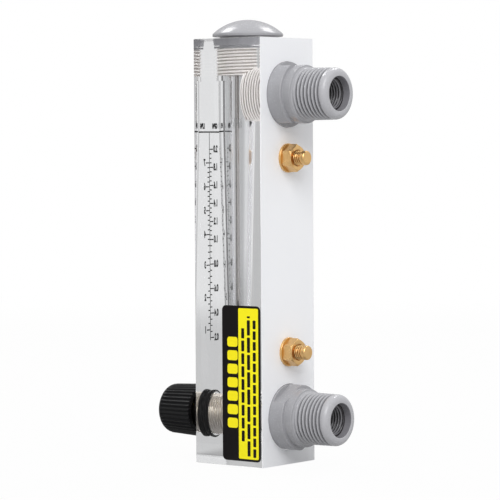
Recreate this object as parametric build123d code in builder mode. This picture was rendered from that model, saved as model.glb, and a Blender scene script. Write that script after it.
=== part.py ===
from build123d import *

import os
from math import cos, pi, sin

# Panel flow meter: a clear acrylic block with a tapered vertical bore, a float on a guide rod,
# two threaded hose connectors and two panel studs at the back, and a needle valve at the front.
# Millimetres. The origin is the centre of the block's bottom face. +Z is up, -Y is the front
# with the valve knob and the printed scale, +Y is the back with the connectors and the studs.

# Acrylic block and the white sheet on its back
block_width = 35.0
block_depth = 35.0
block_height = 176.0
sheet_thickness = 0.4
sheet_hole_clearance = 0.2

# Vertical bore: a passage up from the valve, a straight seat, a taper and a threaded top
bore_y = -2.6
passage_radius = 4.5
seat_wall = 0.7
seat_length = 21.0
bore_foot_radius = 6.1
taper_below_top = 36.0
bore_top_radius = 8.9
thread_gap = 0.1

# Top plug
plug_thread_radius = 10.0
plug_thread_hole_length = 12.0
plug_thread_length = 6.6
plug_shoulder_radius = 12.0
plug_recess_depth = 4.1
plug_dome_radius = 14.7
plug_dome_lift = 1.0
plug_rim_height = 1.1
plug_crown_height = 5.9
plug_seal_thickness = 1.2

# Guide rod, its holders and the float
rod_radius = 1.5
rod_foot_reach = 2.0
rod_socket_depth = 4.5
holder_thickness = 2.8
holder_slot_radius = 1.3
holder_slot_count = 4
stop_below_top = 37.0
stop_length = 4.0
stop_radius = 3.5
sliding_gap = 0.08
rest_gap = 0.05
float_body_radius = 3.6
float_rim_radius = 5.8
float_neck_radius = 3.0
float_body_height = 9.2
float_cone_height = 6.0
float_rim_height = 2.5
float_bevel_height = 1.2
float_neck_height = 2.3

# Hose connectors, along +Y from the block's back face
inlet_height = 19.7
outlet_below_top = 23.3
flange_radius = 13.5
flange_across_flats = 23.6
flange_thickness = 7.1
flange_rim = 1.3
flange_edge = 0.35
inlet_flat_turn = 30.0
outlet_flat_turn = 0.0
collar_radius = 12.0
collar_length = 3.9
collar_bevel = 0.5
pipe_thread_base_radius = 10.8
pipe_thread_tip_radius = 10.6
pipe_thread_pitch = 1.81
pipe_thread_depth = 1.05
pipe_thread_crest = 0.45
pipe_thread_turns = 7
connector_tip_land = 3.63
connector_tip_rounding = 2.4
mouth_radius = 7.1
mouth_depth = 3.3
mouth_bevel = 0.4
female_thread_radius = 5.75
female_thread_length = 14.0
port_radius = 5.0
shank_thread_radius = 11.7
shank_thread_gap = 0.3
shank_length = 9.9
shank_end_gap = 0.3
port_seal_width = 2.0
port_seal_depth = 1.5
port_seal_groove = 2.2
seal_gap = 0.05

# Panel studs, nuts and washers
lower_stud_above_inlet = 26.9
upper_stud_below_outlet = 26.1
stud_radius = 3.0
stud_core_radius = 2.7
stud_core_gap = 0.05
stud_reach = 10.4
stud_depth = 9.0
stud_bevel = 0.7
washer_radius = 6.0
washer_thickness = 0.9
nut_across_flats = 10.0
nut_thickness = 4.6
nut_bevel_depth = 0.5
nut_bevel_width = 1.0
nut_turn = 30.0

# Needle valve, on the inlet's axis from the front
bonnet_thread_radius = 8.6
bonnet_thread_depth = 10.0
bonnet_thread_gap = 0.05
bonnet_seal_radius = 10.0
bonnet_seal_depth = 2.9
bonnet_nose_radius = 5.5
bonnet_nose_length = 0.8
bonnet_head_across_flats = 15.0
bonnet_head_thickness = 3.5
bonnet_neck_radius = 6.0
bonnet_neck_reach = 14.0
chamber_radius = 5.7
orifice_radius = 2.5
orifice_y = 2.5
orifice_length = 3.0
stem_radius = 3.0
stem_gap = 0.05
stem_seal_y = -13.0
stem_seal_width = 1.6
stem_groove_radius = 2.1
needle_radius = 2.4
needle_tip_radius = 1.2
needle_length = 2.7
knob_gap = 9.7
knob_length = 17.9
knob_back_radius = 11.25
knob_front_radius = 10.4
knob_rounding = 2.6
knob_wall = 2.4
knob_hollow_depth = 6.3
knob_flutes = 40
knob_flute_depth = 0.45
knob_flute_width = 0.7
knob_face = 2.8

# Label on the right side
label_width = 20.0
label_height = 64.0
label_front_y = -3.0
label_foot_height = 2.2
label_corner = 2.0
label_thickness = 0.15
panel_width = 10.3
panel_height = 62.0
panel_side_margin = 1.1
panel_corner = 0.6
panel_thickness = 0.1

# Printed scale on the front
scale_print_thickness = 0.06
scale_line_width = 0.5
scale_tick_width = 0.4
scale_header_width = 24.0
scale_header_rise = 7.18
scale_foot_drop = 1.0
major_tick = 4.0
minor_tick = 2.2
first_mark_lift = 1.85
first_mark_flow = 0.2
slope_change_flow = 1.0
low_flow_rise = 51.4
high_flow_rise = 37.8
gallon_marks = 10
gallon_step = 0.2
gallon_parts = 4
litre_marks = 7
litre_parts = 5
gallons_per_litre = 0.2642

front_face = -block_depth / 2
back_face = block_depth / 2
side_face = block_width / 2
sheet_face = back_face + sheet_thickness
outlet_height = block_height - outlet_below_top
seat_height = inlet_height + bonnet_thread_radius + seat_wall
taper_foot_height = seat_height + seat_length
taper_top_height = block_height - taper_below_top
stop_height = block_height - stop_below_top
plug_recess_height = block_height - plug_recess_depth
plug_thread_foot = plug_recess_height - plug_thread_hole_length
port_thread_foot = back_face - shank_length
port_hole_radius = shank_thread_radius + shank_thread_gap
knob_back = front_face - knob_gap
bonnet_end = front_face + bonnet_thread_depth
stud_heights = (inlet_height + lower_stud_above_inlet, outlet_height - upper_stud_below_outlet)
port_heights = (inlet_height, outlet_height)
valve_axis = Axis((0, 0, inlet_height), (0, 1, 0))
bore_axis = Axis((0, bore_y, 0), (0, 0, 1))
bore_plane = Plane(origin=(0, bore_y, 0), x_dir=(1, 0, 0), z_dir=(0, -1, 0))
front_plane = Plane(origin=(0, front_face, 0), x_dir=(1, 0, 0), z_dir=(0, -1, 0))
side_plane = Plane(origin=(side_face, 0, 0), x_dir=(0, 1, 0), z_dir=(1, 0, 0))


def turning_plane(height):
    """Upright plane through a level axis: x is distance along +Y, y is the radius."""
    return Plane(origin=(0, 0, height), x_dir=(0, 1, 0), z_dir=(1, 0, 0))


def level_axis(height):
    """Axis along +Y at a height."""
    return Axis((0, 0, height), (0, 1, 0))


def facing_back(height, y):
    """Plane across the Y direction, seen from behind, centred at a height."""
    return Plane(origin=(0, y, height), x_dir=(-1, 0, 0), z_dir=(0, 1, 0))


def save(piece, name):
    """Labels a finished piece and writes it as its own file."""
    piece.part.label = name
    export_step(piece.part, f"parts/{name}.step")


os.makedirs("parts", exist_ok=True)

# The block is bored from the top for the float, from the back for both connectors and studs,
# and from the front for the valve. The bore widens upwards so the float rises with the flow.
with BuildPart() as acrylic_block:
    with BuildSketch():
        Rectangle(block_width, block_depth)
    extrude(amount=block_height)
    with BuildSketch(bore_plane):
        with BuildLine():
            Polyline(
                (0, inlet_height),
                (passage_radius, inlet_height),
                (passage_radius, seat_height),
                (bore_foot_radius, seat_height),
                (bore_foot_radius, taper_foot_height),
                (bore_top_radius, taper_top_height),
                (bore_top_radius, plug_thread_foot),
                (plug_thread_radius + thread_gap, plug_thread_foot),
                (plug_thread_radius + thread_gap, plug_recess_height),
                (plug_shoulder_radius + thread_gap, plug_recess_height),
                (plug_shoulder_radius + thread_gap, block_height),
                (0, block_height),
                close=True,
            )
        make_face()
    revolve(axis=bore_axis, mode=Mode.SUBTRACT)
    for height in port_heights:
        with BuildSketch(facing_back(height, back_face)):
            Circle(port_hole_radius)
        extrude(amount=-shank_length, mode=Mode.SUBTRACT)
    with BuildSketch(facing_back(outlet_height, back_face)):
        Circle(port_radius)
    extrude(amount=bore_y - back_face, mode=Mode.SUBTRACT)
    for height in stud_heights:
        with BuildSketch(facing_back(height, back_face)):
            Circle(stud_core_radius + stud_core_gap)
        extrude(amount=-stud_depth, mode=Mode.SUBTRACT)
    with BuildSketch(turning_plane(inlet_height)):
        with BuildLine():
            Polyline(
                (front_face, 0),
                (front_face, bonnet_seal_radius + seal_gap),
                (front_face + bonnet_seal_depth, bonnet_seal_radius + seal_gap),
                (front_face + bonnet_seal_depth, bonnet_thread_radius + bonnet_thread_gap),
                (bonnet_end, bonnet_thread_radius + bonnet_thread_gap),
                (bonnet_end, chamber_radius),
                (orifice_y, chamber_radius),
                (orifice_y, orifice_radius),
                (orifice_y + orifice_length, orifice_radius),
                (orifice_y + orifice_length, port_radius),
                (port_thread_foot, port_radius),
                (port_thread_foot, 0),
                close=True,
            )
        make_face()
    revolve(axis=valve_axis, mode=Mode.SUBTRACT)
save(acrylic_block, "acrylic_block")

# White vinyl sheet on the whole back face, punched for the connectors' flanges and the studs
with BuildPart() as white_back_sheet:
    with BuildSketch(facing_back(block_height / 2, back_face)):
        Rectangle(block_width, block_height)
        for height in port_heights:
            with Locations((0, height - block_height / 2)):
                Circle(flange_radius + sheet_hole_clearance, mode=Mode.SUBTRACT)
        for height in stud_heights:
            with Locations((0, height - block_height / 2)):
                Circle(stud_radius + sheet_hole_clearance, mode=Mode.SUBTRACT)
    extrude(amount=sheet_thickness)
save(white_back_sheet, "white_back_sheet")

# Top plug: domed head, shoulder in the block's recess, threaded shank with a rod socket
rim_foot = block_height + plug_dome_lift
rim_top = rim_foot + plug_rim_height
shank_foot = plug_recess_height - plug_thread_length
shoulder_foot = plug_recess_height + plug_seal_thickness
with BuildPart() as top_plug:
    with BuildSketch(bore_plane):
        with BuildLine():
            Polyline(
                (0, shank_foot + rod_socket_depth),
                (rod_radius, shank_foot + rod_socket_depth),
                (rod_radius, shank_foot),
                (plug_thread_radius, shank_foot),
                (plug_thread_radius, shoulder_foot),
                (plug_shoulder_radius, shoulder_foot),
                (plug_shoulder_radius, rim_foot),
                (plug_dome_radius, rim_foot),
                (plug_dome_radius, rim_top),
            )
            crown_radius = (plug_dome_radius**2 + plug_crown_height**2) / (2 * plug_crown_height)
            RadiusArc((plug_dome_radius, rim_top), (0, rim_top + plug_crown_height), -crown_radius)
            Line((0, rim_top + plug_crown_height), (0, shank_foot + rod_socket_depth))
        make_face()
    revolve(axis=bore_axis)
save(top_plug, "top_plug")

# Flat rubber ring under the plug's shoulder
with BuildPart() as top_plug_seal:
    with BuildSketch(Plane.XY.offset(plug_recess_height)):
        with Locations((0, bore_y)):
            Circle(plug_shoulder_radius)
            Circle(plug_thread_radius, mode=Mode.SUBTRACT)
    extrude(amount=plug_seal_thickness)
save(top_plug_seal, "top_plug_seal")

# Steel guide rod from below the lower holder up into the plug
rod_foot = seat_height - rod_foot_reach
with BuildPart() as guide_rod:
    with BuildSketch(Plane.XY.offset(rod_foot)):
        with Locations((0, bore_y)):
            Circle(rod_radius)
    extrude(amount=shank_foot + rod_socket_depth - rod_foot)
save(guide_rod, "guide_rod")

# Slotted disc on the bore's ledge, which centres the rod and lets the water past
holder_top = seat_height + holder_thickness
with BuildPart() as lower_rod_holder:
    with BuildSketch(Plane.XY.offset(seat_height)):
        with Locations((0, bore_y)):
            Circle(bore_foot_radius - seal_gap)
            Circle(rod_radius, mode=Mode.SUBTRACT)
            slot_circle = (rod_radius + bore_foot_radius - seal_gap) / 2
            with PolarLocations(slot_circle, holder_slot_count):
                Circle(holder_slot_radius, mode=Mode.SUBTRACT)
    extrude(amount=holder_thickness)
save(lower_rod_holder, "lower_rod_holder")

# Bush on the rod that stops the float at the top
with BuildPart() as upper_float_stop:
    with BuildSketch(Plane.XY.offset(stop_height)):
        with Locations((0, bore_y)):
            Circle(stop_radius)
            Circle(rod_radius, mode=Mode.SUBTRACT)
    extrude(amount=stop_length)
save(upper_float_stop, "upper_float_stop")

# Steel float: a weight below, a cone and the sharp rim that is read against the scale
float_foot = holder_top + rest_gap
float_waist = float_foot + float_body_height
float_rim_foot = float_waist + float_cone_height
float_rim_top = float_rim_foot + float_rim_height
float_shoulder = float_rim_top + float_bevel_height
float_top = float_shoulder + float_neck_height
with BuildPart() as flow_float:
    with BuildSketch(bore_plane):
        with BuildLine():
            Polyline(
                (rod_radius + sliding_gap, float_foot),
                (float_body_radius, float_foot),
                (float_body_radius, float_waist),
                (float_rim_radius, float_rim_foot),
                (float_rim_radius, float_rim_top),
                (float_rim_radius - float_bevel_height, float_shoulder),
                (float_neck_radius, float_shoulder),
                (float_neck_radius, float_top),
                (rod_radius + sliding_gap, float_top),
                close=True,
            )
        make_face()
    revolve(axis=bore_axis)
    chamfer(flow_float.edges().group_by(Axis.Z)[0].sort_by(SortBy.RADIUS)[-1], float_bevel_height / 2)
save(flow_float, "float")

# Grey moulded connectors. Each has a round flange on the block with two flats for a wrench, a
# smooth collar, a tapering outer pipe thread cut as rings, and an inner pipe thread's bore.
thread_flank = (pipe_thread_pitch - pipe_thread_crest) / 2
flange_face = back_face + flange_thickness
thread_foot = flange_face + collar_length
thread_narrowing = (pipe_thread_base_radius - pipe_thread_tip_radius) / pipe_thread_turns


def pipe_thread_outline():
    """Flat crests and sharp roots of the outer thread, from the collar towards the tip."""
    corners = []
    for turn in range(pipe_thread_turns):
        crest = pipe_thread_base_radius - turn * thread_narrowing
        start = thread_foot + turn * pipe_thread_pitch
        corners += [
            (start, crest),
            (start + pipe_thread_crest, crest),
            (start + pipe_thread_crest + thread_flank, crest - pipe_thread_depth),
        ]
    corners.append((thread_foot + pipe_thread_turns * pipe_thread_pitch, pipe_thread_tip_radius))
    return corners


connector_end = thread_foot + pipe_thread_turns * pipe_thread_pitch + connector_tip_land
shank_end = port_thread_foot + shank_end_gap
mouth_foot = connector_end - mouth_depth
female_foot = mouth_foot - female_thread_length
seal_radius = shank_thread_radius - port_seal_depth
for side, height, turn in (
    ("inlet", inlet_height, inlet_flat_turn),
    ("outlet", outlet_height, outlet_flat_turn),
):
    with BuildPart() as connector:
        with BuildSketch(facing_back(height, back_face)):
            Circle(flange_radius)
        extrude(amount=flange_thickness)
        chamfer(connector.edges().group_by(Axis.Y)[-1], flange_edge)
        with BuildSketch(facing_back(height, back_face + flange_rim)):
            Rectangle(4 * flange_radius, 4 * flange_radius)
            Rectangle(4 * flange_radius, flange_across_flats, rotation=turn, mode=Mode.SUBTRACT)
        extrude(amount=flange_thickness - flange_rim, mode=Mode.SUBTRACT)
        with BuildSketch(turning_plane(height)):
            with BuildLine():
                Polyline(
                    (shank_end, 0),
                    (shank_end, shank_thread_radius),
                    (back_face - port_seal_groove, shank_thread_radius),
                    (back_face - port_seal_groove, seal_radius),
                    (back_face, seal_radius),
                    (flange_face, collar_radius),
                    (thread_foot - collar_bevel, collar_radius),
                    *pipe_thread_outline(),
                    (connector_end, pipe_thread_tip_radius),
                    (connector_end, 0),
                    close=True,
                )
            make_face()
        revolve(axis=level_axis(height))
        tip = connector.edges().filter_by(GeomType.CIRCLE).group_by(Axis.Y)[-1].sort_by(SortBy.RADIUS)[-1]
        fillet(tip, connector_tip_rounding)
        with BuildSketch(turning_plane(height)):
            with BuildLine():
                Polyline(
                    (shank_end, 0),
                    (shank_end, port_radius),
                    (female_foot, port_radius),
                    (female_foot, female_thread_radius),
                    (mouth_foot, female_thread_radius),
                    (mouth_foot, mouth_radius),
                    (connector_end, mouth_radius),
                    (connector_end, 0),
                    close=True,
                )
            make_face()
        revolve(axis=level_axis(height), mode=Mode.SUBTRACT)
        mouth = connector.edges().filter_by(GeomType.CIRCLE).group_by(Axis.Y)[-1].sort_by(SortBy.RADIUS)[0]
        chamfer(mouth, mouth_bevel)
    save(connector, f"{side}_connector")

    # Rubber ring round the connector's neck, just inside the block
    with BuildPart() as port_seal:
        with BuildSketch(turning_plane(height)):
            ring_middle = back_face - port_seal_groove / 2
            with Locations((ring_middle, seal_radius + seal_gap + port_seal_depth / 2)):
                Rectangle(port_seal_width, port_seal_depth)
        revolve(axis=level_axis(height))
    save(port_seal, f"{side}_o_ring")

# Brass studs screwed into the block, each with a washer and a nut that clamp the panel
washer_face = sheet_face + washer_thickness
nut_face = washer_face + nut_thickness
for side, height in zip(("lower", "upper"), stud_heights):
    with BuildPart() as stud:
        with BuildSketch(turning_plane(height)):
            with BuildLine():
                Polyline(
                    (back_face - stud_depth, 0),
                    (back_face - stud_depth, stud_core_radius),
                    (nut_face + stud_core_gap, stud_core_radius),
                    (nut_face + stud_core_gap, stud_radius),
                    (sheet_face + stud_reach - stud_bevel, stud_radius),
                    (sheet_face + stud_reach, stud_radius - stud_bevel),
                    (sheet_face + stud_reach, 0),
                    close=True,
                )
            make_face()
        revolve(axis=level_axis(height))
    save(stud, f"{side}_stud")

    with BuildPart() as washer:
        with BuildSketch(facing_back(height, sheet_face)):
            Circle(washer_radius)
            Circle(stud_core_radius + stud_core_gap, mode=Mode.SUBTRACT)
        extrude(amount=washer_thickness)
    save(washer, f"{side}_washer")

    with BuildPart() as nut:
        with BuildSketch(facing_back(height, washer_face)):
            RegularPolygon(nut_across_flats / 2, 6, major_radius=False, rotation=nut_turn)
            Circle(stud_core_radius + stud_core_gap, mode=Mode.SUBTRACT)
        extrude(amount=nut_thickness)
        with BuildSketch(turning_plane(height)):
            nut_corner = nut_across_flats / 2 / cos(pi / 6)
            with BuildLine():
                Polyline(
                    (washer_face, 0),
                    (washer_face, nut_corner),
                    (nut_face - nut_bevel_depth, nut_corner),
                    (nut_face, nut_corner - nut_bevel_width),
                    (nut_face, 0),
                    close=True,
                )
            make_face()
        revolve(axis=level_axis(height), mode=Mode.INTERSECT)
    save(nut, f"{side}_nut")

# Valve bonnet: plated brass screwed into the front, with a hexagon head and a long neck
bonnet_head_face = front_face - bonnet_head_thickness
bonnet_neck_end = front_face - bonnet_neck_reach
with BuildPart() as valve_bonnet:
    with BuildSketch(facing_back(inlet_height, bonnet_head_face)):
        RegularPolygon(bonnet_head_across_flats / 2, 6, major_radius=False)
    extrude(amount=bonnet_head_thickness)
    with BuildSketch(turning_plane(inlet_height)):
        with BuildLine():
            Polyline(
                (bonnet_neck_end, 0),
                (bonnet_neck_end, bonnet_neck_radius),
                (front_face, bonnet_neck_radius),
                (front_face, bonnet_thread_radius),
                (bonnet_end - rest_gap, bonnet_thread_radius),
                (bonnet_end - rest_gap, bonnet_nose_radius),
                (bonnet_end + bonnet_nose_length, bonnet_nose_radius),
                (bonnet_end + bonnet_nose_length, 0),
                close=True,
            )
        make_face()
    revolve(axis=valve_axis)
    with BuildSketch(facing_back(inlet_height, bonnet_neck_end)):
        Circle(stem_radius + stem_gap)
    extrude(amount=bonnet_end + bonnet_nose_length - bonnet_neck_end, mode=Mode.SUBTRACT)
save(valve_bonnet, "valve_bonnet")

# Black rubber ring in the block's front recess, round the bonnet
with BuildPart() as bonnet_seal:
    with BuildSketch(facing_back(inlet_height, front_face)):
        Circle(bonnet_seal_radius)
        Circle(bonnet_thread_radius, mode=Mode.SUBTRACT)
    extrude(amount=bonnet_seal_depth)
save(bonnet_seal, "bonnet_seal")

# Valve stem with a groove for its ring and a needle that closes the orifice
knob_front = knob_back - knob_length
stem_end = knob_front + knob_face
needle_foot = orifice_y - rest_gap
groove_half = stem_seal_width / 2 + stem_gap
with BuildPart() as valve_stem:
    with BuildSketch(turning_plane(inlet_height)):
        with BuildLine():
            Polyline(
                (stem_end, 0),
                (stem_end, stem_radius),
                (stem_seal_y - groove_half, stem_radius),
                (stem_seal_y - groove_half, stem_groove_radius),
                (stem_seal_y + groove_half, stem_groove_radius),
                (stem_seal_y + groove_half, stem_radius),
                (needle_foot, stem_radius),
                (needle_foot, needle_radius),
                (needle_foot + needle_length, needle_tip_radius),
                (needle_foot + needle_length, 0),
                close=True,
            )
        make_face()
    revolve(axis=valve_axis)
save(valve_stem, "valve_stem")

# Rubber ring in the stem's groove, which slides with the stem and doesn't turn
with BuildPart() as stem_o_ring:
    with BuildSketch(turning_plane(inlet_height)):
        ring_height = stem_radius - stem_groove_radius - stem_gap
        with Locations((stem_seal_y, stem_groove_radius + stem_gap + ring_height / 2)):
            Rectangle(stem_seal_width, ring_height)
    revolve(axis=valve_axis)
save(stem_o_ring, "stem_o_ring")

# Black knob: a hollow moulding with a rounded front and straight flutes round its side
with BuildPart() as valve_knob:
    with BuildSketch(turning_plane(inlet_height)):
        with BuildLine():
            Polyline(
                (knob_back, 0),
                (knob_back, knob_back_radius),
                (knob_front, knob_front_radius),
                (knob_front, 0),
                close=True,
            )
        make_face()
    revolve(axis=valve_axis)
    knob_rim = valve_knob.edges().filter_by(GeomType.CIRCLE).group_by(Axis.Y)[0]
    fillet(knob_rim, knob_rounding)
    for flute in range(knob_flutes):
        angle = 2 * pi * flute / knob_flutes
        reach_back = knob_back_radius - knob_flute_depth
        reach_front = knob_front_radius - knob_flute_depth
        flute_side = (cos(angle), 0, sin(angle))
        flute_across = Vector(-sin(angle), 0, cos(angle))
        flute_foot = Vector(0, knob_back, inlet_height) + Vector(*flute_side) * reach_back
        flute_head = Vector(0, knob_front, inlet_height) + Vector(*flute_side) * reach_front
        flute_plane = Plane(origin=flute_foot, x_dir=flute_across, z_dir=flute_head - flute_foot)
        with BuildSketch(flute_plane):
            with BuildLine():
                Polyline(
                    (0, 0),
                    (knob_flute_width, knob_flute_depth * 2),
                    (-knob_flute_width, knob_flute_depth * 2),
                    close=True,
                )
            make_face()
        extrude(amount=(flute_head - flute_foot).length, mode=Mode.SUBTRACT)
    with BuildSketch(facing_back(inlet_height, knob_back)):
        Circle(knob_back_radius - knob_wall)
    extrude(amount=-knob_hollow_depth, mode=Mode.SUBTRACT)
    with BuildSketch(facing_back(inlet_height, knob_back)):
        Circle(stem_radius)
    extrude(amount=stem_end - knob_back, mode=Mode.SUBTRACT)
save(valve_knob, "valve_knob")

# Black label on the right side, with a yellow field along its rear edge
with BuildPart() as side_label:
    with BuildSketch(side_plane):
        with Locations((label_front_y + label_width / 2, label_foot_height + label_height / 2)):
            RectangleRounded(label_width, label_height, label_corner)
    extrude(amount=label_thickness)
save(side_label, "side_label")

panel_middle_y = label_front_y + label_width - panel_side_margin - panel_width / 2
with BuildPart() as side_label_panel:
    with BuildSketch(side_plane.offset(label_thickness)):
        with Locations((panel_middle_y, label_foot_height + label_height / 2)):
            RectangleRounded(panel_width, panel_height, panel_corner)
    extrude(amount=panel_thickness)
save(side_label_panel, "side_label_panel")


def mark_height(flow):
    """Height of the float's rim at a flow in gallons a minute; the marks close up above one."""
    low = min(flow, slope_change_flow) - first_mark_flow
    high = max(flow - slope_change_flow, 0)
    return float_rim_top + first_mark_lift + low_flow_rise * low + high_flow_rise * high


# Printed scale: a middle line under a header line, gallons to the left and litres to the right
scale_foot_height = mark_height(first_mark_flow) - scale_foot_drop
scale_header_height = mark_height(first_mark_flow + (gallon_marks - 1) * gallon_step) + scale_header_rise
with BuildPart() as flow_scale:
    with BuildSketch(front_plane):
        with Locations((0, (scale_foot_height + scale_header_height) / 2)):
            Rectangle(scale_line_width, scale_header_height - scale_foot_height)
        with Locations((0, scale_header_height)):
            Rectangle(scale_header_width, scale_line_width)
        gallon_ticks = (gallon_marks - 1) * gallon_parts + 1
        for tick in range(gallon_ticks):
            length = minor_tick if tick % gallon_parts else major_tick
            with Locations((-length / 2, mark_height(first_mark_flow + tick * gallon_step / gallon_parts))):
                Rectangle(length, scale_tick_width)
        litre_ticks = (litre_marks - 1) * litre_parts + 1
        for tick in range(litre_ticks):
            length = minor_tick if tick % litre_parts else major_tick
            with Locations((length / 2, mark_height((1 + tick / litre_parts) * gallons_per_litre))):
                Rectangle(length, scale_tick_width)
    extrude(amount=scale_print_thickness)
save(flow_scale, "flow_scale")
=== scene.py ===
import math

import bmesh
import bpy
import numpy as np
from mathutils import Matrix, Vector


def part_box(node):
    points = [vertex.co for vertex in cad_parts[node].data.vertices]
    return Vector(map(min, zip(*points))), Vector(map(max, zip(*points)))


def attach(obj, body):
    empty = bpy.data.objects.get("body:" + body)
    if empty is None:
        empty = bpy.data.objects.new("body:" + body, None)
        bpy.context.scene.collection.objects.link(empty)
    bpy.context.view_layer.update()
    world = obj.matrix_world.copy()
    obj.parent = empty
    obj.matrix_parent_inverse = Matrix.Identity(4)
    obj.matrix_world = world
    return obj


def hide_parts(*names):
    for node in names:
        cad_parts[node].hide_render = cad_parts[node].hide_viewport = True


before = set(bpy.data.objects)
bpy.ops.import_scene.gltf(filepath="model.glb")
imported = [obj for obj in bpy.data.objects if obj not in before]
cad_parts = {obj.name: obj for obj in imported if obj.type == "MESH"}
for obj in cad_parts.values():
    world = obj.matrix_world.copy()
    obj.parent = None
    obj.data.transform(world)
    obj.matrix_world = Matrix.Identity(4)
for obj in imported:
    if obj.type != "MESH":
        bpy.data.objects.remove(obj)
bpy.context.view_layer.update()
MM = 0.001


# The clear block is one piece of cast acrylic, sawn and polished on all six sides. It is bored
# from the top for the float, from the back for the two connectors and the studs, and from the
# front for the valve, and the screw holes are tapped in the acrylic itself.
def rounded_outline(corners):
    """Outline of a turned part: straight runs through corners (along, radius, rounding, rows).

    A corner with a rounding becomes a circular arc of that radius, which touches both runs.
    Rows is how many steps the run that leaves the corner is cut into.
    """
    degrees_a_step = 12
    outline = []
    for index, (along, radius, rounding, rows) in enumerate(corners):
        here = np.array([along, radius], float)
        following = np.array(corners[(index + 1) % len(corners)][:2], float)
        if rounding:
            before = np.array(corners[index - 1][:2], float) - here
            after = following - here
            before /= np.linalg.norm(before)
            after /= np.linalg.norm(after)
            opening = math.acos(float(np.clip(before @ after, -1, 1)))
            swing = math.pi - opening
            reach = rounding / math.tan(opening / 2)
            inwards = (before + after) / np.linalg.norm(before + after)
            middle = here + inwards * rounding / math.sin(opening / 2)
            first, last = here + before * reach - middle, here + after * reach - middle
            steps = max(2, round(math.degrees(swing) / degrees_a_step))
            share = np.linspace(0, 1, steps + 1)[:, None]
            arc = (np.sin((1 - share) * swing) * first + np.sin(share * swing) * last) / math.sin(swing)
            outline.append(middle + arc)
            here = outline[-1][-1]
        else:
            outline.append(here[None])
        if rows > 1:
            outline.append(here + (following - here) * np.linspace(0, 1, rows + 1)[1:-1, None])
    return np.concatenate(outline) * MM


def turned_points(outline, turns, shape=None):
    """Points of an outline carried round a straight axis.

    Each point keeps its distance along the axis while its radius turns through a full circle.
    A shape may change the radius by distance, radius and turn.
    """
    turn = np.asarray(turns)[None, :]
    along = outline[:, :1] + 0 * turn
    radius = outline[:, 1:] + 0 * turn
    if shape:
        radius = shape(along, radius, turn + 0 * along)
    return np.stack([radius * np.cos(turn), radius * np.sin(turn), along], -1)


def stand_on(points, foot, direction):
    """Moves points from their own axis onto one that starts at foot and runs along direction."""
    axes = {"+Z": ((1, 0, 0), (0, 1, 0), (0, 0, 1)), "+Y": ((0, 0, 1), (1, 0, 0), (0, 1, 0))}[direction]
    return points @ np.array(axes, float) + np.array(foot, float)


def grid_faces(rows, columns, loop):
    """Faces between neighbouring rows and columns; the columns close up, and the rows if loop."""
    row = np.arange(rows if loop else rows - 1)[:, None]
    column = np.arange(columns)[None, :]
    below, above = row * columns, (row + 1) % rows * columns
    right = (column + 1) % columns
    corners = [below + column, below + right, above + right, above + column]
    return np.stack(corners, -1).reshape(-1, 4)


sharp_edge = math.radians(35)


def mesh_piece(name, points, faces):
    """A mesh object at the origin from points and faces, welded, and smooth but for its sharp edges."""
    mesh = bpy.data.meshes.new(name)
    mesh.from_pydata(points.reshape(-1, 3).tolist(), [], faces.tolist())
    work = bmesh.new()
    work.from_mesh(mesh)
    bmesh.ops.remove_doubles(work, verts=work.verts, dist=1e-7)
    bmesh.ops.dissolve_degenerate(work, edges=work.edges, dist=1e-7)
    work.to_mesh(mesh)
    work.free()
    mesh.polygons.foreach_set("use_smooth", np.ones(len(mesh.polygons), bool))
    mesh.set_sharp_from_angle(angle=sharp_edge)
    piece = bpy.data.objects.new(name, mesh)
    bpy.context.collection.objects.link(piece)
    return piece


def even_turns(columns):
    """Directions round a full circle, evenly spaced."""
    return np.arange(columns) * 2 * np.pi / columns


def turned_piece(name, corners, foot, direction, turns, shape=None):
    """A turned part: it is solid where its outline starts and ends on the axis, else a ring."""
    outline = rounded_outline(corners)
    points = stand_on(turned_points(outline, turns, shape), foot, direction)
    ring = outline[0, 1] > 0
    return mesh_piece(name, points, grid_faces(len(outline), len(turns), ring))


def cutter(corners, foot, direction, columns=96):
    """A turned solid that is taken out of the block. Where a thread fills a hole, the hole is
    narrower than the thread's crests, so that the acrylic touches it and it shows through."""
    return turned_piece("cutter", corners, foot, direction, even_turns(columns))


class Reading:
    """A socket that reads as a number, so that a sum of readings is written as a sum."""

    def __init__(self, tree, socket):
        self.tree = tree
        self.socket = socket

    def math(self, operation, *values):
        node = self.tree.nodes.new("ShaderNodeMath")
        node.operation = operation
        for entry, value in zip(node.inputs, values):
            if isinstance(value, Reading):
                self.tree.links.new(value.socket, entry)
            else:
                entry.default_value = value
        return Reading(self.tree, node.outputs[0])

    def __add__(self, other):
        return self.math("ADD", self, other)

    def __radd__(self, other):
        return self.math("ADD", other, self)

    def __sub__(self, other):
        return self.math("SUBTRACT", self, other)

    def __rsub__(self, other):
        return self.math("SUBTRACT", other, self)

    def __mul__(self, other):
        return self.math("MULTIPLY", self, other)

    def __rmul__(self, other):
        return self.math("MULTIPLY", other, self)

    def __gt__(self, other):
        return self.math("GREATER_THAN", self, other)

    def __lt__(self, other):
        return self.math("LESS_THAN", self, other)

    def __mod__(self, other):
        return self.math("FLOORED_MODULO", self, other)

    def __abs__(self):
        return self.math("ABSOLUTE", self)

    def larger(self, other):
        return self.math("MAXIMUM", self, other)

    def square_root(self):
        return self.math("SQRT", self)


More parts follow.
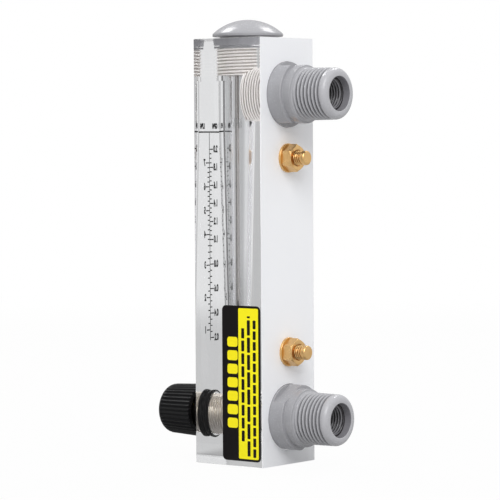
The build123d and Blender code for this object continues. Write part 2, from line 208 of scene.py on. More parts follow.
class Nodes:
    """The nodes of a finish or of the room."""

    def __init__(self, tree):
        self.tree = tree

    def feed(self, node, sockets):
        for name, value in sockets.items():
            entry = node.inputs[name.replace("_", " ") if isinstance(name, str) else name]
            if isinstance(value, Reading):
                self.tree.links.new(value.socket, entry)
            else:
                entry.default_value = value

    def node(self, kind, settings=None, sockets=None, output=0):
        """Any node: its settings come first, then its sockets, and one output is given back."""
        node = self.tree.nodes.new("ShaderNode" + kind)
        for name, value in (settings or {}).items():
            setattr(node, name, value)
        self.feed(node, sockets or {})
        return Reading(self.tree, node.outputs[output])

    def blend(self, share, first, second):
        """Colour between first and second."""
        return self.node("Mix", {"data_type": "RGBA"}, {0: share, 6: first, 7: second}, 2)

    def rise(self, value, start, end):
        """0 before start and 1 past end, with a smooth way between; start may be above end."""
        sockets = {"Value": value, "From Min": start, "From Max": end}
        return self.node("MapRange", {"interpolation_type": "SMOOTHSTEP"}, sockets)

    def along(self, way, direction):
        """The cosine of the angle between a way and a direction."""
        return self.node("VectorMath", {"operation": "DOT_PRODUCT"}, {0: way, 1: direction}, "Value")


class Finish(Nodes):
    """The finish of a piece: one Principled surface and the nodes that vary it."""

    def __init__(self, name, **sockets):
        self.material = bpy.data.materials.new(name)
        self.material.use_nodes = True
        super().__init__(self.material.node_tree)
        self.surface = self.tree.nodes["Principled BSDF"]
        self.feed(self.surface, sockets)

    def vary(self, **sockets):
        """Feeds sockets of the surface with what changes over it."""
        self.feed(self.surface, sockets)

    def place(self):
        """Where a point of the piece is, as one vector."""
        return self.node("TexCoord", output="Object")

    def axes(self):
        """The three distances of a point from the meter's origin, in millimetres."""
        scaled = self.node("VectorMath", {"operation": "SCALE"}, {0: self.place(), "Scale": 1 / MM})
        split = self.node("SeparateXYZ", None, {0: scaled}).socket.node
        return [Reading(self.tree, output) for output in split.outputs]

    def noise(self, scale, detail=3.0, stretch=None):
        """Smooth noise between 0 and 1 with so many patches a metre, drawn out by stretch."""
        where = self.place()
        if stretch:
            where = self.node("Mapping", None, {"Vector": where, "Scale": stretch})
        return self.node("TexNoise", None, {"Vector": where, "Scale": scale, "Detail": detail})

    def relief(self, height, depth):
        """Bump: the surface tilts as if height, from 0 to 1, stood depth millimetres tall."""
        bump = self.node("Bump", None, {"Strength": 1.0, "Distance": depth * MM, "Height": height})
        self.vary(Normal=bump)


def wear(piece, finish, slot, body, *replaced):
    """Gives a new piece its finish and its body, and hides the nodes that it stands for; slot is not used."""
    piece.data.materials.clear()
    piece.data.materials.append(finish.material)
    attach(piece, body)
    if replaced:
        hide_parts(*replaced)


def middle_height(node):
    """Height of a node's middle, in millimetres."""
    low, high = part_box(node)
    return (low.z + high.z) / 2 / MM


block_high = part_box("acrylic_block")[1]
half_block, block_top = block_high.x / MM, block_high.z / MM
rod_low, rod_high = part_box("guide_rod")
bore_y = (rod_low.y + rod_high.y) / 2 / MM
inlet_height, outlet_height = middle_height("inlet_o_ring"), middle_height("outlet_o_ring")
stud_heights = [middle_height(node) for node in ("lower_stud", "upper_stud")]
plug_foot, shoulder_foot = 160.7, 171.9
ring_seat = 15.3
past_face, past_top = 18.5, 177.0

# The acrylic reaches a hair into the ink, the sheet and the label, so no air lies under them.
contact = 0.02
edge_rounding = 0.25
block_sides = np.array([
    (-half_block, half_block + contact), (-half_block - contact, half_block + contact), (0, block_top)])
block_corners = np.stack(np.meshgrid(*block_sides * MM, indexing="ij"), -1).reshape(-1, 3)
block_mesh = bpy.data.meshes.new("clear_block")
block_mesh.from_pydata(block_corners.tolist(), [], [
    (0, 1, 3, 2), (4, 6, 7, 5), (0, 4, 5, 1), (2, 3, 7, 6), (0, 2, 6, 4), (1, 5, 7, 3)])
block_work = bmesh.new()
block_work.from_mesh(block_mesh)
bmesh.ops.bevel(
    block_work, geom=block_work.edges[:], offset=edge_rounding * MM, segments=2, affect="EDGES", profile=0.5)
block_work.to_mesh(block_mesh)
block_work.free()
block = bpy.data.objects.new("clear_block", block_mesh)
bpy.context.collection.objects.link(block)

bore_cutter = cutter(
    [(inlet_height, 0, 0, 1), (inlet_height, 4.5, 0, 1), (29, 4.5, 0, 1), (29, 6.1, 0, 1), (50, 6.1, 0, 12),
     (140, 8.9, 0, 4), (158.6, 8.9, 0, 1), (158.6, 9.9, 0, 1), (plug_foot, 9.9, 0, 1), (plug_foot, 9.0, 0, 1),
     (shoulder_foot, 9.0, 0, 1), (shoulder_foot, 10.78, 0, 1), (past_top, 11.62, 0, 1), (past_top, 0, 0, 1)],
    (0, bore_y * MM, 0), "+Z")
outlet_cutter = cutter(
    [(bore_y, 0, 0, 1), (bore_y, 5, 0, 1), (3.7, 5, 0, 1), (3.7, 10.0, 0, 1), (ring_seat, 10.0, 0, 1),
     (ring_seat, 11.7, 0, 1), (past_face, 11.7, 0, 1), (past_face, 0, 0, 1)],
    (0, 0, outlet_height * MM), "+Y")
valve_cutter = cutter(
    [(-past_face, 0, 0, 1), (-past_face, 9.3, 0, 1), (-17.4, 9.3, 0, 1), (-16.2, 9.7, 0, 1),
     (-14.66, 9.7, 0, 1), (-14.62, 7.7, 0, 1), (-7.5, 7.7, 0, 1), (-7.5, 5.7, 0, 1), (2.5, 5.7, 0, 1),
     (2.5, 2.5, 0, 1), (5.5, 2.5, 0, 1), (5.5, 5, 0, 1), (7.6, 5, 0, 1), (7.6, 10.9, 0, 1),
     (ring_seat, 10.9, 0, 1), (ring_seat, 11.7, 0, 1), (past_face, 11.7, 0, 1), (past_face, 0, 0, 1)],
    (0, 0, inlet_height * MM), "+Y")
stud_cutters = [cutter(
    [(10.4, 0, 0, 1), (10.4, 2.4, 0, 1), (past_face, 2.4, 0, 1), (past_face, 0, 0, 1)],
    (0, 0, height * MM), "+Y", 48) for height in stud_heights]
cutters = [bore_cutter, outlet_cutter, valve_cutter, *stud_cutters]

for tool in cutters:
    cut = block.modifiers.new("cut", "BOOLEAN")
    cut.operation = "DIFFERENCE"
    cut.solver = "EXACT"
    cut.object = tool
bpy.context.view_layer.update()
drilled = bpy.data.meshes.new_from_object(block.evaluated_get(bpy.context.evaluated_depsgraph_get()))
block.modifiers.clear()
block.data = drilled
drilled.name = "clear_block"
for tool in cutters:
    bpy.data.objects.remove(tool)

# The walls of the holes shade smooth, and the outer faces and their rounded edges stay flat.
skin = 0.3
centres = np.empty((len(drilled.polygons), 3))
drilled.polygons.foreach_get("center", centres.ravel())
deep = np.minimum(half_block * MM - np.abs(centres[:, 0]), half_block * MM - np.abs(centres[:, 1]))
deep = np.minimum(deep, np.minimum(centres[:, 2], block_top * MM - centres[:, 2]))
drilled.set_sharp_from_angle(angle=sharp_edge)
drilled.polygons.foreach_set("use_smooth", deep > skin * MM)

acrylic = Finish(
    "clear_acrylic", Base_Color=(0.9, 0.905, 0.915, 1.0), Roughness=0.0, IOR=1.49, Transmission_Weight=1.0)
wear(block, acrylic, "clear_acrylic", "housing", "acrylic_block")


# A sheet of white vinyl is stuck over the whole back of the block. It is the bright ground that
# the float is read against, and the connectors and the studs come through it. Its inner face has
# a faint painted glow, which stands in for the light that the acrylic carries to it.
def seen_as(red, green, blue):
    """A colour as a screen shows it, from 0 to 255, as the light it stands for, which is a short
    straight run near black and a power of 2.4 above it."""
    share = np.array([red, green, blue]) / 255
    light = np.where(share > 0.04045, ((share + 0.055) / 1.055) ** 2.4, share / 12.92)
    return (*light.tolist(), 1.0)


def coat(node, finish):
    """Puts a finish on a node of the frame, whose shape stays as it is."""
    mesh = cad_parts[node].data
    if not len(mesh.materials):
        mesh.materials.append(finish.material)
    for index in range(len(mesh.materials)):
        mesh.materials[index] = finish.material


no_glow = seen_as(0, 0, 0)
vinyl = Finish("white_vinyl", Base_Color=seen_as(240, 241, 244), Roughness=0.38, Emission_Strength=1.0)
vinyl_y = vinyl.axes()[1]
vinyl.vary(Emission_Color=vinyl.blend(vinyl_y < half_block + 0.1, no_glow, seen_as(168, 168, 170)))
vinyl.relief(vinyl.noise(900.0), 0.01)
coat("white_back_sheet", vinyl)


# The scale is printed in black on the front face: a centre line with marks for gallons on its
# left and litres on its right, and their numbers. The ink lies on the acrylic and spreads a
# little past the drawn edge of every line.
ink = Finish("black_print", Base_Color=seen_as(12, 12, 13), Specular_IOR_Level=0.1)
ink.vary(Roughness=0.4 + 0.2 * ink.noise(2500.0))
line_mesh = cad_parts["flow_scale"].data.copy()
line_work = bmesh.new()
line_work.from_mesh(line_mesh)
bmesh.ops.remove_doubles(line_work, verts=line_work.verts, dist=1e-7)
line_work.to_mesh(line_mesh)
line_work.free()

# Each part of a corner's outward direction, rounded to -1, 0 or 1, says which way it moves.
line_spread = 0.06
places, outwards = np.empty((2, len(line_mesh.vertices), 3))
line_mesh.vertices.foreach_get("co", places.ravel())
line_mesh.vertex_normals.foreach_get("vector", outwards.ravel())
places += line_spread * MM * np.round(1.2 * outwards) * (1, 0, 1)
line_mesh.vertices.foreach_set("co", places.ravel())
line_mesh.update()
lines_piece = bpy.data.objects.new("scale_lines", line_mesh)
bpy.context.collection.objects.link(lines_piece)
wear(lines_piece, ink, "black_print", "housing", "flow_scale")

letter_spread = 0.19
half_ink = 0.03


def printed_line(words, across, up, size, side):
    """Flat letters made a mesh and stood up on the front face, centred on a height."""
    curve = bpy.data.curves.new("printed_line", "FONT")
    curve.body = words
    curve.size = size * MM
    curve.align_x = side
    curve.align_y = "CENTER"
    curve.extrude = half_ink * MM
    curve.offset = letter_spread * MM
    curve.resolution_u = 4
    holder = bpy.data.objects.new("printed_line", curve)
    bpy.context.collection.objects.link(holder)
    bpy.context.view_layer.update()
    letters = bpy.data.meshes.new_from_object(holder.evaluated_get(bpy.context.evaluated_depsgraph_get()))
    bpy.data.objects.remove(holder)
    bpy.data.curves.remove(curve)
    letters.transform(Matrix((
        (1, 0, 0, across * MM), (0, 0, -1, -(half_block + half_ink) * MM), (0, 1, 0, up * MM), (0, 0, 0, 1))))
    return letters


def mark_height(gallons):
    """Height of a flow on the scale: it climbs evenly from the lowest mark to one gallon, and
    evenly but slower above."""
    lowest_mark, lower_climb, upper_climb = 51.4, 51.4, 37.8
    return lowest_mark + lower_climb * (min(gallons, 1.0) - 0.2) + upper_climb * max(gallons - 1.0, 0.0)


gallons_a_litre = 0.2642
beside_marks, number_size = 4.6, 3.9
heading_height, heading_size = 139.9, 2.9
lines = [printed_line(f"{fifths / 5:.1f}", -beside_marks, mark_height(fifths / 5), number_size, "RIGHT")
         for fifths in range(1, 11)]
lines += [printed_line(str(litres), beside_marks, mark_height(litres * gallons_a_litre), number_size, "LEFT")
          for litres in range(1, 8)]
lines += [printed_line(unit, across, heading_height, heading_size, "CENTER")
          for unit, across in (("GPM", -6.4), ("LPM", 7.8))]
numbers_work = bmesh.new()
for letters in lines:
    numbers_work.from_mesh(letters)
    bpy.data.meshes.remove(letters)
numbers_mesh = bpy.data.meshes.new("scale_numbers")
numbers_work.to_mesh(numbers_mesh)
numbers_work.free()
numbers = bpy.data.objects.new("scale_numbers", numbers_mesh)
bpy.context.collection.objects.link(numbers)
wear(numbers, ink, "black_print", "housing")


# A black label with rounded corners and a yellow field is stuck on the right side of the block.
# Both are printed film. A row of yellow blocks runs up the black, and three rows of broken black
# bars run up the yellow.
def blocks_in_a_row(along, across, centre, height, first, last, rhythm, gap, corner):
    """1 inside a row of rounded blocks that repeat at a rhythm from first to last, with gaps.

    A point is inside a block where its distance past the block's inner straight sides, less
    corner on every side, is under the corner's radius.
    """
    past_end = abs((along - first) % rhythm - rhythm / 2) - (rhythm / 2 - gap / 2 - corner)
    past_side = abs(across - centre) - (height / 2 - corner)
    past_end, past_side = past_end.larger(0.0), past_side.larger(0.0)
    inside = past_end * past_end + past_side * past_side < corner ** 2
    return inside * (along > first) * (along < last)


black_label = Finish("black_label", Specular_IOR_Level=0.25)
label_y, label_z = black_label.axes()[1:]
blocks = blocks_in_a_row(label_z, label_y, 2.4, 5.4, 15.0, 54.0, 39.0 / 7, 1.5, 1.1)
film_shade = 0.9 + 0.1 * black_label.noise(60.0)
black_label.vary(
    Base_Color=black_label.blend(blocks, seen_as(20, 17, 18), seen_as(255, 240, 20)),
    Roughness=0.4 * film_shade)
black_label.relief(black_label.noise(1600.0), 0.006)
coat("side_label", black_label)

yellow_field = Finish("yellow_label", Specular_IOR_Level=0.25)
field_y, field_z = yellow_field.axes()[1:]
left_bars, middle_bars, right_bars = (
    blocks_in_a_row(field_z, field_y, centre, 1.6, first, last, rhythm, 0.8, 0.4)
    for centre, first, last, rhythm in (
        (7.9, 10.0, 57.0, 5.3), (10.9, 4.0, 62.0, 7.1), (13.9, 3.6, 61.0, 4.4)))
yellow_field.vary(
    Base_Color=yellow_field.blend(
        left_bars + middle_bars + right_bars, seen_as(255, 243, 22), seen_as(24, 22, 20)),
    Roughness=0.36 + 0.06 * yellow_field.noise(60.0))
yellow_field.relief(yellow_field.noise(1600.0), 0.006)
coat("side_label_panel", yellow_field)


# The plug that closes the bore is injection moulded in grey plastic, with a low dome, a plain
# shoulder that sinks into the block and a threaded shank. White sealing tape is wound on its
# thread, as on those of the connectors, and a soft ring seals under the shoulder.
def from_nearer(height, low, high):
    """Distance up from the nearer of two axes, at the heights low and high."""
    return height - (low + (high - low) * (height > (low + high) / 2))


def screw(start, end, pitch, depth, least, most, crest=0.15, root=0.0):
    """Thread on the rows of a turned part from start to end along it, and from least to most radius.

    The radius gains depth times a tent wave of distance over pitch less turns, with flat crests
    and roots, and the wave fades in and out over half a pitch at both ends. Root is a distance
    along the part where the depth is reached at turn nought.
    """
    def shape(along, radius, turn):
        place = along / MM
        wave = np.abs((((place - root) / pitch - turn / (2 * np.pi)) % 1) * 2 - 1)
        tent = np.clip((wave - crest) / (1 - 2 * crest), 0, 1)
        fade = np.clip(np.minimum(place - start, end - place) / (pitch / 2), 0, 1)
        threaded = (radius >= least * MM) & (radius <= most * MM)
        return radius + depth * MM * tent * fade * threaded
    return shape


grey_plastic = Finish("grey_plastic", Emission_Strength=1.0)
grain = grey_plastic.noise(1400.0, 4.0)
plastic_x, plastic_y, plastic_z = grey_plastic.axes()
from_bore = plastic_y - bore_y
from_port = from_nearer(plastic_z, inlet_height, outlet_height)
reach = (plastic_x * plastic_x + from_port * from_port).square_root()

# The tape covers the shanks. What is sunk in the block has a faint painted glow, which stands in
# for the light that the acrylic carries to it, and painted shade darkens the thread's roots in both
# the colour and the glow.
taped = (plastic_y < 15.4) * (plastic_z < 173.0)
sunk = (plastic_y < half_block) * (plastic_z < block_top)
bore_reach = (plastic_x * plastic_x + from_bore * from_bore).square_root()
plug_root = (bore_reach < 9.55) * (plastic_z > 155.0) * (plastic_y < 7.8)
port_root = (reach < 10.5) * (plastic_y > 2.0)
root = taped * plug_root.larger(port_root)
tape = grey_plastic.blend(root, seen_as(246, 243, 240), seen_as(190, 184, 180))
tape_glow = grey_plastic.blend(root, seen_as(132, 130, 129), seen_as(78, 75, 74))
sunk_glow = grey_plastic.blend(taped, seen_as(88, 88, 91), tape_glow)

# The bare plastic is painted lighter on the pipe threads than on the flanges, collars and dome,
# and painted shade darkens the thread valleys, the mouth rims and the mouths.
collar_end, mouth_floor, thread_end = 28.3, 41.4, 41.9
pipe = (plastic_y > collar_end) * (plastic_y < thread_end) * (reach > 9.0)
pipe_valley_shade = pipe * grey_plastic.rise(reach, 10.5, 9.8)
collar_or_dome = (plastic_y < collar_end).larger(plastic_z > block_top)
mouth_rim = (plastic_y > mouth_floor) * (plastic_y < 44.6) * (reach < 7.25)
mouth = (plastic_y > 26.0) * (plastic_y < 41.6) * (reach < 7.0)
mouth_valley = grey_plastic.rise(reach, 5.9, 6.4)
mouth_shade = grey_plastic.blend(mouth_valley, seen_as(128, 127, 132), seen_as(40, 38, 40))
bare = grey_plastic.blend(pipe_valley_shade, seen_as(176, 176, 180), seen_as(122, 122, 126))
bare = grey_plastic.blend(collar_or_dome, bare, seen_as(158, 158, 162))
bare = grey_plastic.blend(mouth_rim, bare, seen_as(134, 133, 138))
bare = grey_plastic.blend(mouth, bare, mouth_shade)
grey_plastic.vary(
    Base_Color=grey_plastic.blend(taped, bare, tape),
    Emission_Color=grey_plastic.blend(sunk, no_glow, sunk_glow),
    Roughness=0.2 + 0.12 * grain)
grey_plastic.relief(grain, 0.012)

# The dome is part of a sphere, which its height and the radius of its rim give.
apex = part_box("top_plug")[1].z / MM
rim_radius, rim_top = 14.7, block_top + 2.1
dome_rise = apex - rim_top
dome_radius = (rim_radius ** 2 + dome_rise ** 2) / (2 * dome_rise)
dome_turns = np.linspace(math.asin(14.5 / dome_radius), 0, 12)
dome = [(apex - dome_radius * (1 - math.cos(turn)), dome_radius * math.sin(turn), 0, 1)
        for turn in dome_turns]
plug_pitch = 1.33
plug = turned_piece(
    "top_plug_moulding",
    [(plug_foot, 0, 0, 1), (plug_foot, 9.2, 0.3, 84), (shoulder_foot, 9.2, 0, 1), (173.1, 9.2, 0, 1),
     (173.1, 11.0, 0.2, 1), (176.0, 11.5, 0.0, 1), (177.0, 11.8, 0, 1), (177.0, rim_radius, 0.3, 1),
     (rim_top - 0.1, rim_radius, 0.35, 1)] + dome,
    (0, bore_y * MM, 0), "+Z", even_turns(96), screw(157.6, 172.6, plug_pitch, 0.8, least=9.1, most=9.3))
wear(plug, grey_plastic, "grey_plastic", "housing", "top_plug")

# The silicone ring has a faint painted glow, which stands in for the light that the acrylic carries to it.
silicone = Finish(
    "grey_silicone", Base_Color=seen_as(150, 150, 153), Roughness=0.5, Emission_Color=seen_as(80, 80, 82),
    Emission_Strength=1.0)
silicone.relief(silicone.noise(1200.0), 0.005)
seal = turned_piece(
    "top_plug_seal_ring",
    [(171.95, 10.85, 0.3, 1), (173.05, 10.95, 0.3, 1), (173.05, 10.05, 0, 1), (171.95, 10.05, 0, 1)],
    (0, bore_y * MM, 0), "+Z", even_turns(96))
wear(seal, silicone, "black_rubber", "housing", "top_plug_seal")


# A steel rod runs down the middle of the bore, between the plug and a slotted plastic holder. The
# steel float slides on it, under a plastic bush that stops its rise.
steel = Finish("steel", Base_Color=seen_as(200, 196, 193), Metallic=1.0)
steel.vary(Roughness=0.08 + 0.12 * steel.noise(700.0, 4.0, (6.0, 6.0, 0.2)))
coat("guide_rod", steel)
natural_plastic = Finish(
    "natural_plastic", Base_Color=seen_as(246, 246, 246), Transmission_Weight=0.9, Alpha=0.35)
natural_plastic.vary(Roughness=0.08 + 0.08 * natural_plastic.noise(900.0))
coat("upper_float_stop", natural_plastic)
coat("lower_rod_holder", natural_plastic)

float_steel = Finish("float_steel", Base_Color=seen_as(188, 190, 194), Metallic=1.0)
float_steel.vary(Roughness=0.2 + 0.18 * float_steel.noise(260.0, 4.0, (1.0, 1.0, 14.0)))
coat("float", float_steel)


# The two connectors are injection moulded in the same grey plastic. Each is screwed into the
# block up to its round flange, which has two flats for a wrench, and seals on a rubber ring. A
# tapering pipe thread runs outside and a finer thread in its mouth.
def shapes_in_turn(*shapes):
    """Several shapes of one turned part, each working on what the one before left."""
    def shape(along, radius, turn):
        for one in shapes:
            radius = one(along, radius, turn)
        return radius
    return shape


def flats(count, start, end, apothem, flat_turn):
    """Cuts flats on a turned part: its radius is at most apothem over the cosine of the turn
    from the nearest flat's middle."""
    def shape(along, radius, turn):
        place = along / MM
        step = 2 * np.pi / count
        off = (turn - math.radians(flat_turn) + step / 2) % step - step / 2
        flat = apothem * MM / np.maximum(np.cos(off), 1e-3)
        within = (place >= start) & (place <= end)
        return np.where(within, np.minimum(radius, flat), radius)
    return shape


def flat_turns(count, columns, apothem, round_radius, flat_turn):
    """Even directions with those added where the flats meet the round, off each flat's middle by
    the angle whose cosine is apothem over the round's radius."""
    edge = math.acos(apothem / round_radius)
    meets = [math.radians(flat_turn) + part * 2 * math.pi / count + side * edge
             for part in range(count) for side in (-1, 1)]
    turns = np.sort(np.concatenate([even_turns(columns), np.mod(meets, 2 * np.pi)]))
    return turns[np.append(True, np.diff(turns) > 1e-4)]


black_rubber = Finish("black_rubber", Base_Color=seen_as(15, 15, 16), Specular_IOR_Level=0.15)
black_rubber.vary(Roughness=0.45 + 0.2 * black_rubber.noise(1200.0))

flange_apothem, flange_radius = 11.8, 13.5
mouth_pitch, pipe_pitch, shank_pitch = 1.38, 1.81, 1.3
connector_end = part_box("outlet_connector")[1].y / MM
connector_outline = [
    (ring_seat, 10.2, 0, 1), (17.5, 10.2, 0, 1), (17.5, flange_radius, 0.2, 1), (18.8, flange_radius, 0, 1),
    (18.84, flange_radius, 0, 4), (24.6, flange_radius, 0.35, 1), (24.6, 12.0, 0.15, 1),
    (28.05, 12.0, 0.3, 1), (28.5, 10.8, 0, 110), (41.4, 10.6, 0, 1), (connector_end, 10.55, 2.4, 2),
    (connector_end, 7.1, 0.3, 1), (41.5, 7.1, 0, 1), (41.5, 5.75, 0, 96), (27.5, 5.75, 0, 1),
    (27.5, 5.0, 0, 6)]
for name, height, flat_turn, shank_foot in (
        ("outlet", outlet_height, 0.0, 3.8), ("inlet", inlet_height, 30.0, 7.9)):
    shank = [(shank_foot, 5.0, 0, 1), (shank_foot, 11.0, 0.3, 90), (ring_seat, 11.0, 0, 1)]
    connector = turned_piece(
        f"{name}_connector_moulding", shank + connector_outline, (0, 0, height * MM), "+Y",
        flat_turns(2, 144, flange_apothem, flange_radius, flat_turn),
        shapes_in_turn(flats(2, 18.82, 24.7, flange_apothem, flat_turn),
                       screw(shank_foot, 15.9, shank_pitch, -0.85, least=10.9, most=11.2),
                       screw(28.2, 41.9, pipe_pitch, -1.15, least=10.5, most=10.81, crest=0.1, root=28.0),
                       screw(26.9, 42.2, mouth_pitch, 0.75, least=5.7, most=5.8, crest=0.1)))
    wear(connector, grey_plastic, "grey_plastic", "housing", f"{name}_connector")
    coat(f"{name}_o_ring", black_rubber)


# Two brass studs are screwed into the back of the block, to hold the meter on its panel. Each
# carries a washer and a hexagon nut, both turned from brass.
brass = Finish("brass", Metallic=1.0, Emission_Strength=1.0)
tarnish = brass.noise(420.0, 4.0)
brass_x, brass_y, brass_z = brass.axes()
from_stud = from_nearer(brass_z, *stud_heights)
# Painted shade darkens the studs' thread valleys, and what is sunk in the block has a faint painted glow,
# which stands in for the light that the acrylic carries to it.
stud_valley_shade = (brass_x * brass_x + from_stud * from_stud < 2.62 ** 2) * (brass_y < 26.4)
bright = brass.blend(tarnish, seen_as(238, 200, 140), seen_as(214, 168, 106))
brass.vary(
    Base_Color=brass.blend(stud_valley_shade, bright, seen_as(150, 100, 58)),
    Emission_Color=brass.blend(brass_y < half_block, no_glow, seen_as(160, 153, 146)),
    Roughness=0.2 + 0.2 * tarnish)
stud_pitch = 1.0
nut_apothem, nut_radius = 5.0, 5.78
for name, height in zip(("lower", "upper"), stud_heights):
    foot = (0, 0, height * MM)
    stud = turned_piece(
        f"{name}_stud_turned",
        [(10.5, 0, 0, 1), (10.5, 2.42, 0.3, 130), (26.2, 2.42, 0, 1), (26.5, 3.0, 0, 1),
         (28.3, 3.0, 0.7, 1), (28.3, 0, 0, 1)],
        foot, "+Y", even_turns(48), screw(8.3, 26.7, stud_pitch, 0.56, least=2.4, most=2.45))
    nut = turned_piece(
        f"{name}_nut_turned",
        [(18.8, 3.02, 0, 1), (18.8, 5.3, 0, 2), (19.1, nut_radius, 0, 1), (22.8, nut_radius, 0, 3),
         (23.4, 4.9, 0.1, 1), (23.4, 3.5, 0.1, 1), (22.9, 3.02, 0, 1)],
        foot, "+Y", flat_turns(6, 72, nut_apothem, nut_radius, 30.0), flats(6, 18.7, 23.5, nut_apothem, 30.0))
    washer = turned_piece(
        f"{name}_washer_turned",
        [(17.9, 3.1, 0, 1), (17.9, 6.0, 0, 1), (18.8, 6.0, 0.2, 1), (18.8, 3.1, 0, 1)],
        foot, "+Y", even_turns(96))
    for part, piece in (("stud", stud), ("nut", nut), ("washer", washer)):
        wear(piece, brass, "brass", "housing", f"{name}_{part}")


# The needle valve screws into the front of the block. Its bonnet is turned from plated brass and
# seals on a black ring, and the steel stem that runs through it ends in the needle.
plated_brass = Finish("plated_brass", Metallic=1.0, Emission_Strength=1.0)
plated_y, plated_z = plated_brass.axes()[1:]
# The plating is painted lighter towards its top and darker towards its bottom, as light falling from above.
# Inside the block it is painted darker and has a faint painted glow, which stands in for the light that the
# acrylic carries to it.
in_block = plated_y > -half_block
height_share = plated_brass.node("MapRange", None, {
    "Value": plated_z, "From Min": inlet_height - 7.0, "From Max": inlet_height + 7.0})
plating_with_painted_light = plated_brass.blend(height_share, seen_as(186, 182, 178), seen_as(250, 242, 230))
plated_brass.vary(
    Base_Color=plated_brass.blend(in_block, seen_as(150, 144, 136), plating_with_painted_light),
    Emission_Color=plated_brass.blend(in_block, no_glow, seen_as(72, 69, 66)),
    Roughness=0.3 + 0.1 * plated_brass.noise(500.0))
valve_foot = (0, 0, inlet_height * MM)
bonnet_pitch = 1.25
bonnet_apothem, bonnet_radius = 7.5, 8.65
bonnet = turned_piece(
    "valve_bonnet_turned",
    [(-31.5, 3.05, 0, 1), (-31.5, 6.0, 0.3, 1), (-21.0, 6.0, 0, 1), (-21.0, 8.0, 0, 2),
     (-20.6, bonnet_radius, 0, 1), (-17.9, bonnet_radius, 0, 2), (-17.5, 8.0, 0, 1), (-15.0, 7.9, 0, 46),
     (-7.55, 7.9, 0, 1), (-7.5, 5.5, 0, 1), (-6.7, 5.5, 0.15, 1), (-6.7, 3.05, 0, 1)],
    valve_foot, "+Y", flat_turns(6, 84, bonnet_apothem, bonnet_radius, 0.0),
    shapes_in_turn(flats(6, -21.0, -17.5, bonnet_apothem, 0.0),
                   screw(-15.6, -7.2, bonnet_pitch, 0.65, least=7.85, most=7.95)))
wear(bonnet, plated_brass, "plated_brass", "housing", "valve_bonnet")
bonnet_ring = turned_piece(
    "bonnet_seal_ring",
    [(-17.5, 8.7, 0, 1), (-17.5, 9.5, 0.3, 1), (-16.0, 9.95, 0.5, 1), (-14.65, 10.0, 0.4, 1),
     (-14.65, 8.7, 0, 1)],
    valve_foot, "+Y", even_turns(96))
wear(bonnet_ring, black_rubber, "black_rubber", "housing", "bonnet_seal")
coat("valve_stem", steel)
coat("stem_o_ring", black_rubber)


# The knob is moulded in black plastic, hollow at the back, with fine flutes round its side that
# run out into the rounded front edge.
def flutes(count, depth, start, full, least):
    """Rounded grooves round a turned part where its radius is over least: the radius loses depth
    times a raised cosine of the turn, and the grooves deepen from start to full along it."""
    def shape(along, radius, turn):
        fade = np.clip((along / MM - start) / (full - start), 0, 1)
        fade = fade * fade * (3 - 2 * fade)
        groove = (0.5 + 0.5 * np.cos(count * turn)) ** 0.8
        return np.where(radius > least * MM, radius - depth * MM * groove * fade, radius)
    return shape


black_plastic = Finish("black_plastic", Base_Color=seen_as(13, 13, 15), Specular_IOR_Level=0.2)
scuff = black_plastic.noise(800.0, 5.0)
black_plastic.vary(Roughness=0.36 + 0.16 * scuff)
black_plastic.relief(scuff, 0.01)
knob_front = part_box("valve_knob")[0].y / MM
knob = turned_piece(
    "valve_knob_moulding",
    [(knob_front, 0, 0, 1), (knob_front, 10.4, 2.6, 14), (-27.2, 11.22, 0.3, 1), (-27.2, 8.85, 0.3, 1),
     (-33.5, 8.85, 0.5, 1), (-33.5, 3.0, 0, 1), (-42.3, 3.0, 0, 1), (-42.3, 0, 0, 1)],
    valve_foot, "+Y", even_turns(400), flutes(40, 0.5, -44.2, -41.5, 9.3))
wear(knob, black_plastic, "black_plastic", "valve_spindle", "valve_knob")


# The meter stands on a white table in a white room. A dark card before its right side and a pale
# grey one before its left side draw its edges in the acrylic, a wide soft lamp lights the sides
# that show, and two smaller ones hang over it.
def seen_directly(nodes):
    """1 for a ray from the camera, a mirror or through glass, and 0 for one that only lights."""
    camera_ray, mirror_ray, glass_ray = (
        nodes.node("LightPath", output=kind)
        for kind in ("Is Camera Ray", "Is Glossy Ray", "Is Transmission Ray"))
    return camera_ray.larger(mirror_ray.larger(glass_ray))


def seen_strength(nodes, towards):
    """How bright the surroundings look in a direction, to a mirror or through glass.

    Each card takes its share of the light where the cosine of the angle to its own level
    direction is past inner, and less of it down to outer. To the camera itself all is white.
    """
    strength = 0.87
    cards = (((0.784, -0.621, 0.0), 0.95, 0.82, 0.66), ((-0.784, -0.621, 0.0), 0.92, 0.6, 0.29))
    for level_way, inner, outer, share in cards:
        strength = strength - share * nodes.rise(nodes.along(towards, level_way), outer, inner)
    return strength.larger(nodes.node("LightPath", output="Is Camera Ray"))


black, white = (0.0, 0.0, 0.0, 1.0), (1.0, 1.0, 1.0, 1.0)
table = Finish("white_table", Base_Color=(0.5, 0.5, 0.5, 1.0), Roughness=1.0, Specular_IOR_Level=0.0)
table_way = table.node("VectorMath", {"operation": "NORMALIZE"}, {0: table.place()})
table_distance = table.node("VectorMath", {"operation": "LENGTH"}, {0: table.place()}, "Value")
# Seen in mirrors and through the acrylic, the table's glow is painted darker near the meter, as a painted
# shadow. Near the meter a small share of plain table shows the camera its real shadow.
near_meter = table.rise(table_distance, 1.15, 0.7)
mirrored = 1.0 - table.node("LightPath", output="Is Camera Ray")
table_strength = seen_strength(table, table_way) * (1.0 - 0.24 * near_meter * mirrored)
table_glow = table.node("Emission", None, {"Color": table.blend(table_strength, black, white)})
table_surface = table.node("MixShader", None, {
    0: (1.0 - 0.03 * near_meter) * seen_directly(table),
    1: Reading(table.tree, table.surface.outputs[0]), 2: table_glow})
table.feed(table.tree.nodes["Material Output"], {"Surface": table_surface})

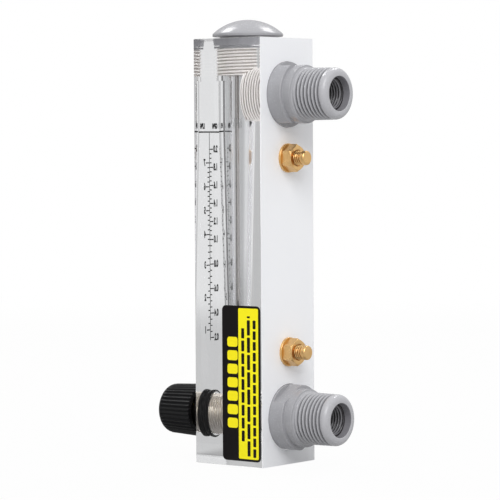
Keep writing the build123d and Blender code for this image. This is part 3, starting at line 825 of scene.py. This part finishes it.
# The table lies a hair under the block, so that its light reaches the underside.
half_table, table_height = 3.0, -0.1 * MM
table_mesh = bpy.data.meshes.new("table")
table_mesh.from_pydata(
    [(x * half_table, y * half_table, table_height) for x, y in ((-1, -1), (1, -1), (1, 1), (-1, 1))],
    [], [(0, 1, 2, 3)])
table_mesh.materials.append(table.material)
table_top = bpy.data.objects.new("table", table_mesh)
bpy.context.collection.objects.link(table_top)

room = bpy.data.worlds.new("white_room")
bpy.context.scene.world = room
room.use_nodes = True
room_nodes = Nodes(room.node_tree)
towards = room_nodes.node("TexCoord", output="Generated")
slope = room_nodes.along(towards, (0.0, 0.0, 1.0))
unseen_light = room_nodes.node("MapRange", None, {
    "Value": slope, "From Min": 0.0, "From Max": 1.0, "To Min": 0.6, "To Max": 0.9})
room_strength = unseen_light + seen_directly(room_nodes) * (seen_strength(room_nodes, towards) - unseen_light)
room_nodes.feed(room.node_tree.nodes["Background"], {"Color": room_nodes.blend(room_strength, black, white)})

lamp_target = Vector((0, 0, 0.09))
for name, stand, size, power in (
        ("soft_lamp", (0.75, 0.75, 0.95), 0.8, 10.0),
        ("left_top_lamp", (-0.15, -0.6, 0.9), 0.25, 2.0),
        ("right_top_lamp", (-0.62, -0.01, 0.9), 0.25, 2.0)):
    lamp_data = bpy.data.lights.new(name, "AREA")
    lamp_data.shape = "RECTANGLE"
    lamp_data.size = size
    lamp_data.size_y = size
    lamp_data.energy = power
    lamp = bpy.data.objects.new(name, lamp_data)
    bpy.context.collection.objects.link(lamp)
    lamp.location = stand
    lamp.rotation_euler = (lamp_target - lamp.location).to_track_quat("-Z", "Y").to_euler()


# The camera stands far off at the height of the meter, behind its right side. It looks down a
# little and is turned a little about its own line of sight.
azimuth, elevation, tilt = (math.radians(angle) for angle in (128.4015, 2.3925, -0.3307))
level_sight = Vector((-math.sin(azimuth), math.cos(azimuth), 0)) * math.cos(elevation)
forward = level_sight - Vector((0, 0, math.sin(elevation)))
level_right = forward.cross(Vector((0, 0, 1))).normalized()
level_up = level_right.cross(forward)
right = math.cos(tilt) * level_right + math.sin(tilt) * level_up
upward = math.cos(tilt) * level_up - math.sin(tilt) * level_right
aim = Vector((0, 0, 0.088)) - 1.6265 * MM * level_right + 0.2956 * MM * level_up
camera_distance = 1.07806
stand = aim - forward * camera_distance
camera_data = bpy.data.cameras.new("camera")
camera_data.sensor_width = 36.0
camera_data.lens = 186.25
camera_data.clip_start = 0.05
camera_data.clip_end = 50.0
camera = bpy.data.objects.new("camera", camera_data)
bpy.context.collection.objects.link(camera)
camera.matrix_world = Matrix((
    (right.x, upward.x, -forward.x, stand.x), (right.y, upward.y, -forward.y, stand.y),
    (right.z, upward.z, -forward.z, stand.z), (0, 0, 0, 1)))
bpy.context.scene.camera = camera
bpy.context.scene.view_settings.view_transform = "Standard"
